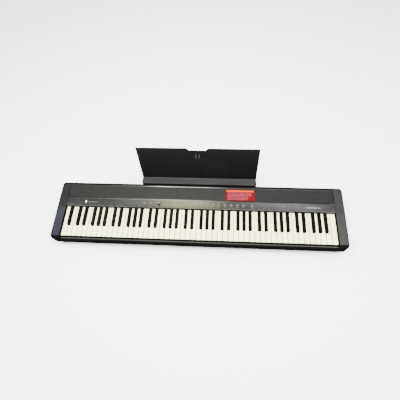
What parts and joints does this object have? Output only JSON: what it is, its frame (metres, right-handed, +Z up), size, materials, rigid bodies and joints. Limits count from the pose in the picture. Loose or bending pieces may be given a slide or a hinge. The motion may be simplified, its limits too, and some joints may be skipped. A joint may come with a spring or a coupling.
{
  "type": "portable digital piano",
  "caption": "Slab-shaped portable electronic piano with a full-size hinged keyboard, top control panel, speaker grille and a lift-off music rest plugged in behind.",
  "frame": {"origin": "on the floor under the middle of the whole object's bounding box, music rest included", "axes": "+X to the player's right along the keyboard, -Y towards the player, +Y to the rear, +Z up"},
  "size_m": [1.304, 0.353, 0.2994],
  "materials": {
    "case_shell": "matte",
    "control_panel": "satin",
    "speaker_grille": "matte",
    "red_felt": "matte",
    "white_keys": "satin",
    "black_keys": "satin",
    "buttons": "satin",
    "knob": "satin",
    "music_rest": "satin",
    "key_chassis": "matte",
    "steel_rod": "satin",
    "circuit_board": "satin",
    "speaker": "matte",
    "sockets": "satin",
    "rubber_feet": "matte",
    "notice_label": "satin"
  },
  "bodies": {
    "case": {"base_plate": "case_shell", "rear_top_rim": "case_shell", "rear_panel": "case_shell", "jack_panel": "case_shell", "jack_sockets": "sockets", "left_cheek": "case_shell", "right_cheek": "case_shell", "front_rail": "case_shell", "control_panel": "control_panel", "speaker_grille": "speaker_grille", "felt_strip": "red_felt", "key_chassis": "key_chassis", "key_pivot_rod": "steel_rod", "contact_board": "circuit_board", "left_speaker": "speaker", "right_speaker": "speaker", "main_board": "circuit_board", "panel_board": "circuit_board", "foot_front_left": "rubber_feet", "foot_front_right": "rubber_feet", "foot_rear_left": "rubber_feet", "foot_rear_right": "rubber_feet", "notice_label": "notice_label"},
    "music_rest": {"music_rest": "music_rest"},
    "button_01": {"button_01": "buttons"},
    "button_02": {"button_02": "buttons"},
    "button_03": {"button_03": "buttons"},
    "button_04": {"button_04": "buttons"},
    "button_05": {"button_05": "buttons"},
    "button_06": {"button_06": "buttons"},
    "button_07": {"button_07": "buttons"},
    "button_08": {"button_08": "buttons"},
    "button_09": {"button_09": "buttons"},
    "button_10": {"button_10": "buttons"},
    "button_11": {"button_11": "buttons"},
    "button_12": {"button_12": "buttons"},
    "button_13": {"button_13": "buttons"},
    "button_14": {"button_14": "buttons"},
    "button_15": {"button_15": "buttons"},
    "volume_knob": {"volume_knob": "knob"},
    "white_keys_bass": {"white_keys_bass": "white_keys"},
    "black_keys_bass": {"black_keys_bass": "black_keys"},
    "white_keys_tenor": {"white_keys_tenor": "white_keys"},
    "black_keys_tenor": {"black_keys_tenor": "black_keys"},
    "key_c4": {"key_c4": "white_keys"},
    "key_c_sharp4": {"key_c_sharp4": "black_keys"},
    "key_d4": {"key_d4": "white_keys"},
    "key_d_sharp4": {"key_d_sharp4": "black_keys"},
    "key_e4": {"key_e4": "white_keys"},
    "key_f4": {"key_f4": "white_keys"},
    "key_f_sharp4": {"key_f_sharp4": "black_keys"},
    "key_g4": {"key_g4": "white_keys"},
    "key_g_sharp4": {"key_g_sharp4": "black_keys"},
    "key_a4": {"key_a4": "white_keys"},
    "key_a_sharp4": {"key_a_sharp4": "black_keys"},
    "key_b4": {"key_b4": "white_keys"},
    "white_keys_treble": {"white_keys_treble": "white_keys"},
    "black_keys_treble": {"black_keys_treble": "black_keys"},
    "white_keys_high": {"white_keys_high": "white_keys"},
    "black_keys_high": {"black_keys_high": "black_keys"}
  },
  "joints": [
    {"name": "music_rest_lift", "type": "slide", "parent": "case", "child": "music_rest", "axis": [0, 0, 1], "range_m": [0, 0.045]},
    {"name": "volume_knob_turn", "type": "hinge", "parent": "case", "child": "volume_knob", "pos_m": [-0.177, 0.00279, 0.103], "axis": [0, 0, 1], "range_deg": [-150, 150]},
    {"name": "white_keys_bass_press", "type": "hinge", "parent": "case", "child": "white_keys_bass", "pos_m": [0, 0.03579, 0.0667], "axis": [1, 0, 0], "range_deg": [0, 2.9], "stiffness_Nm_per_rad": 9.6, "springref_deg": -20.05},
    {"name": "black_keys_bass_press", "type": "hinge", "parent": "case", "child": "black_keys_bass", "pos_m": [0, 0.03579, 0.0667], "axis": [1, 0, 0], "range_deg": [0, 2.9], "stiffness_Nm_per_rad": 4.4, "springref_deg": -20.05},
    {"name": "white_keys_tenor_press", "type": "hinge", "parent": "case", "child": "white_keys_tenor", "pos_m": [0, 0.03579, 0.0667], "axis": [1, 0, 0], "range_deg": [0, 2.9], "stiffness_Nm_per_rad": 4.2, "springref_deg": -20.05},
    {"name": "black_keys_tenor_press", "type": "hinge", "parent": "case", "child": "black_keys_tenor", "pos_m": [0, 0.03579, 0.0667], "axis": [1, 0, 0], "range_deg": [0, 2.9], "stiffness_Nm_per_rad": 2, "springref_deg": -20.05},
    {"name": "white_keys_treble_press", "type": "hinge", "parent": "case", "child": "white_keys_treble", "pos_m": [0, 0.03579, 0.0667], "axis": [1, 0, 0], "range_deg": [0, 2.9], "stiffness_Nm_per_rad": 4.2, "springref_deg": -20.05},
    {"name": "black_keys_treble_press", "type": "hinge", "parent": "case", "child": "black_keys_treble", "pos_m": [0, 0.03579, 0.0667], "axis": [1, 0, 0], "range_deg": [0, 2.9], "stiffness_Nm_per_rad": 2, "springref_deg": -20.05},
    {"name": "white_keys_high_press", "type": "hinge", "parent": "case", "child": "white_keys_high", "pos_m": [0, 0.03579, 0.0667], "axis": [1, 0, 0], "range_deg": [0, 2.9], "stiffness_Nm_per_rad": 9, "springref_deg": -20.05},
    {"name": "black_keys_high_press", "type": "hinge", "parent": "case", "child": "black_keys_high", "pos_m": [0, 0.03579, 0.0667], "axis": [1, 0, 0], "range_deg": [0, 2.9], "stiffness_Nm_per_rad": 4, "springref_deg": -20.05},
    {"name": "key_c4_press", "type": "hinge", "parent": "case", "child": "key_c4", "pos_m": [0, 0.03579, 0.0667], "axis": [1, 0, 0], "range_deg": [0, 2.9], "stiffness_Nm_per_rad": 0.6, "springref_deg": -20.05},
    {"name": "key_c_sharp4_press", "type": "hinge", "parent": "case", "child": "key_c_sharp4", "pos_m": [0, 0.03579, 0.0667], "axis": [1, 0, 0], "range_deg": [0, 2.9], "stiffness_Nm_per_rad": 0.4, "springref_deg": -20.05},
    {"name": "key_d4_press", "type": "hinge", "parent": "case", "child": "key_d4", "pos_m": [0, 0.03579, 0.0667], "axis": [1, 0, 0], "range_deg": [0, 2.9], "stiffness_Nm_per_rad": 0.6, "springref_deg": -20.05},
    {"name": "key_d_sharp4_press", "type": "hinge", "parent": "case", "child": "key_d_sharp4", "pos_m": [0, 0.03579, 0.0667], "axis": [1, 0, 0], "range_deg": [0, 2.9], "stiffness_Nm_per_rad": 0.4, "springref_deg": -20.05},
    {"name": "key_e4_press", "type": "hinge", "parent": "case", "child": "key_e4", "pos_m": [0, 0.03579, 0.0667], "axis": [1, 0, 0], "range_deg": [0, 2.9], "stiffness_Nm_per_rad": 0.6, "springref_deg": -20.05},
    {"name": "key_f4_press", "type": "hinge", "parent": "case", "child": "key_f4", "pos_m": [0, 0.03579, 0.0667], "axis": [1, 0, 0], "range_deg": [0, 2.9], "stiffness_Nm_per_rad": 0.6, "springref_deg": -20.05},
    {"name": "key_f_sharp4_press", "type": "hinge", "parent": "case", "child": "key_f_sharp4", "pos_m": [0, 0.03579, 0.0667], "axis": [1, 0, 0], "range_deg": [0, 2.9], "stiffness_Nm_per_rad": 0.4, "springref_deg": -20.05},
    {"name": "key_g4_press", "type": "hinge", "parent": "case", "child": "key_g4", "pos_m": [0, 0.03579, 0.0667], "axis": [1, 0, 0], "range_deg": [0, 2.9], "stiffness_Nm_per_rad": 0.6, "springref_deg": -20.05},
    {"name": "key_g_sharp4_press", "type": "hinge", "parent": "case", "child": "key_g_sharp4", "pos_m": [0, 0.03579, 0.0667], "axis": [1, 0, 0], "range_deg": [0, 2.9], "stiffness_Nm_per_rad": 0.4, "springref_deg": -20.05},
    {"name": "key_a4_press", "type": "hinge", "parent": "case", "child": "key_a4", "pos_m": [0, 0.03579, 0.0667], "axis": [1, 0, 0], "range_deg": [0, 2.9], "stiffness_Nm_per_rad": 0.6, "springref_deg": -20.05},
    {"name": "key_a_sharp4_press", "type": "hinge", "parent": "case", "child": "key_a_sharp4", "pos_m": [0, 0.03579, 0.0667], "axis": [1, 0, 0], "range_deg": [0, 2.9], "stiffness_Nm_per_rad": 0.4, "springref_deg": -20.05},
    {"name": "key_b4_press", "type": "hinge", "parent": "case", "child": "key_b4", "pos_m": [0, 0.03579, 0.0667], "axis": [1, 0, 0], "range_deg": [0, 2.9], "stiffness_Nm_per_rad": 0.6, "springref_deg": -20.05},
    {"name": "button_01_press", "type": "slide", "parent": "case", "child": "button_01", "axis": [0, 0, -1], "range_m": [0, 0.0012], "stiffness_N_per_m": 400, "springref_m": -0.0012},
    {"name": "button_02_press", "type": "slide", "parent": "case", "child": "button_02", "axis": [0, 0, -1], "range_m": [0, 0.0012], "stiffness_N_per_m": 400, "springref_m": -0.0012},
    {"name": "button_03_press", "type": "slide", "parent": "case", "child": "button_03", "axis": [0, 0, -1], "range_m": [0, 0.0012], "stiffness_N_per_m": 400, "springref_m": -0.0012},
    {"name": "button_04_press", "type": "slide", "parent": "case", "child": "button_04", "axis": [0, 0, -1], "range_m": [0, 0.0012], "stiffness_N_per_m": 400, "springref_m": -0.0012},
    {"name": "button_05_press", "type": "slide", "parent": "case", "child": "button_05", "axis": [0, 0, -1], "range_m": [0, 0.0012], "stiffness_N_per_m": 400, "springref_m": -0.0012},
    {"name": "button_06_press", "type": "slide", "parent": "case", "child": "button_06", "axis": [0, 0, -1], "range_m": [0, 0.0012], "stiffness_N_per_m": 400, "springref_m": -0.0012},
    {"name": "button_07_press", "type": "slide", "parent": "case", "child": "button_07", "axis": [0, 0, -1], "range_m": [0, 0.0012], "stiffness_N_per_m": 400, "springref_m": -0.0012},
    {"name": "button_08_press", "type": "slide", "parent": "case", "child": "button_08", "axis": [0, 0, -1], "range_m": [0, 0.0012], "stiffness_N_per_m": 400, "springref_m": -0.0012},
    {"name": "button_09_press", "type": "slide", "parent": "case", "child": "button_09", "axis": [0, 0, -1], "range_m": [0, 0.0012], "stiffness_N_per_m": 400, "springref_m": -0.0012},
    {"name": "button_10_press", "type": "slide", "parent": "case", "child": "button_10", "axis": [0, 0, -1], "range_m": [0, 0.0012], "stiffness_N_per_m": 400, "springref_m": -0.0012},
    {"name": "button_11_press", "type": "slide", "parent": "case", "child": "button_11", "axis": [0, 0, -1], "range_m": [0, 0.0012], "stiffness_N_per_m": 400, "springref_m": -0.0012},
    {"name": "button_12_press", "type": "slide", "parent": "case", "child": "button_12", "axis": [0, 0, -1], "range_m": [0, 0.0012], "stiffness_N_per_m": 400, "springref_m": -0.0012},
    {"name": "button_13_press", "type": "slide", "parent": "case", "child": "button_13", "axis": [0, 0, -1], "range_m": [0, 0.0012], "stiffness_N_per_m": 400, "springref_m": -0.0012},
    {"name": "button_14_press", "type": "slide", "parent": "case", "child": "button_14", "axis": [0, 0, -1], "range_m": [0, 0.0012], "stiffness_N_per_m": 400, "springref_m": -0.0012},
    {"name": "button_15_press", "type": "slide", "parent": "case", "child": "button_15", "axis": [0, 0, -1], "range_m": [0, 0.0012], "stiffness_N_per_m": 400, "springref_m": -0.0012}
  ]
}
